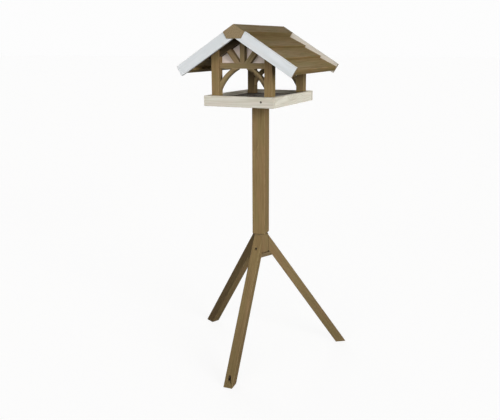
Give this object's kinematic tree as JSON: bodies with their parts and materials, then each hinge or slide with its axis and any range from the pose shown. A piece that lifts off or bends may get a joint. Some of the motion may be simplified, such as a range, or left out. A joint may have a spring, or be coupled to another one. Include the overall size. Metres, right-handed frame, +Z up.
{
  "type": "bird feeder on pole",
  "caption": "Bird table: a small timber house with a lapped pitched roof, white bargeboards and braced gables over a rimmed tray, on a square pole with splayed legs.",
  "frame": {"origin": "middle of the footprint, on the ground under the feet", "axes": "+Z up; the front gable faces -Y and +X is to the right seen from the front; the pole stands at x = 0.0173, y = 0.0750 because the three legs reach out unevenly"},
  "size_m": [0.6996, 0.6396, 1.407],
  "materials": {
    "roof_timber": "pressure-treated softwood, weathered brown",
    "frame_timber": "pressure-treated softwood, brown with an olive cast",
    "stand_timber": "pressure-treated softwood, brown with an olive cast",
    "white_painted_timber": "opaque white paint, matt",
    "whitewashed_timber": "thin cream wash with the grain showing",
    "tray_floor": "dark weathered board",
    "steel_fixings": "dull zinc, weathered"
  },
  "bodies": {
    "root": {"bargeboard_front_left": "white_painted_timber", "bargeboard_front_right": "white_painted_timber", "bargeboard_rear_left": "white_painted_timber", "bargeboard_rear_right": "white_painted_timber", "brace_front_left": "frame_timber", "brace_front_right": "frame_timber", "brace_rear_left": "frame_timber", "brace_rear_right": "frame_timber", "coach_screws": "steel_fixings", "eaves_batten_left": "roof_timber", "eaves_batten_right": "roof_timber", "eaves_rail_left": "frame_timber", "eaves_rail_right": "frame_timber", "gable_panel_front": "white_painted_timber", "gable_panel_rear": "white_painted_timber", "hub_block": "stand_timber", "king_spoke_front": "frame_timber", "king_spoke_rear": "frame_timber", "leg_front": "stand_timber", "leg_left": "stand_timber", "leg_right": "stand_timber", "leg_screws": "steel_fixings", "plate_screws": "steel_fixings", "pole": "stand_timber", "pole_plate": "stand_timber", "post_front_left": "frame_timber", "post_front_right": "frame_timber", "post_rear_left": "frame_timber", "post_rear_right": "frame_timber", "post_screws": "steel_fixings", "rafter_front_left": "frame_timber", "rafter_front_right": "frame_timber", "rafter_rear_left": "frame_timber", "rafter_rear_right": "frame_timber", "ridge_beam": "roof_timber", "rim_screws": "steel_fixings", "roof_board_left_1": "roof_timber", "roof_board_left_2": "roof_timber", "roof_board_left_3": "roof_timber", "roof_board_right_1": "roof_timber", "roof_board_right_2": "roof_timber", "roof_board_right_3": "roof_timber", "roof_nails": "steel_fixings", "spoke_front_left": "frame_timber", "spoke_front_right": "frame_timber", "spoke_rear_left": "frame_timber", "spoke_rear_right": "frame_timber", "spreader_plate": "stand_timber", "tie_beam_front": "frame_timber", "tie_beam_rear": "frame_timber", "tray_floor": "tray_floor", "tray_rim_front": "whitewashed_timber", "tray_rim_left": "whitewashed_timber", "tray_rim_rear": "whitewashed_timber", "tray_rim_right": "whitewashed_timber", "verge_batten_front_left": "frame_timber", "verge_batten_front_right": "frame_timber", "verge_batten_rear_left": "frame_timber", "verge_batten_rear_right": "frame_timber"}
  },
  "joints": []
}
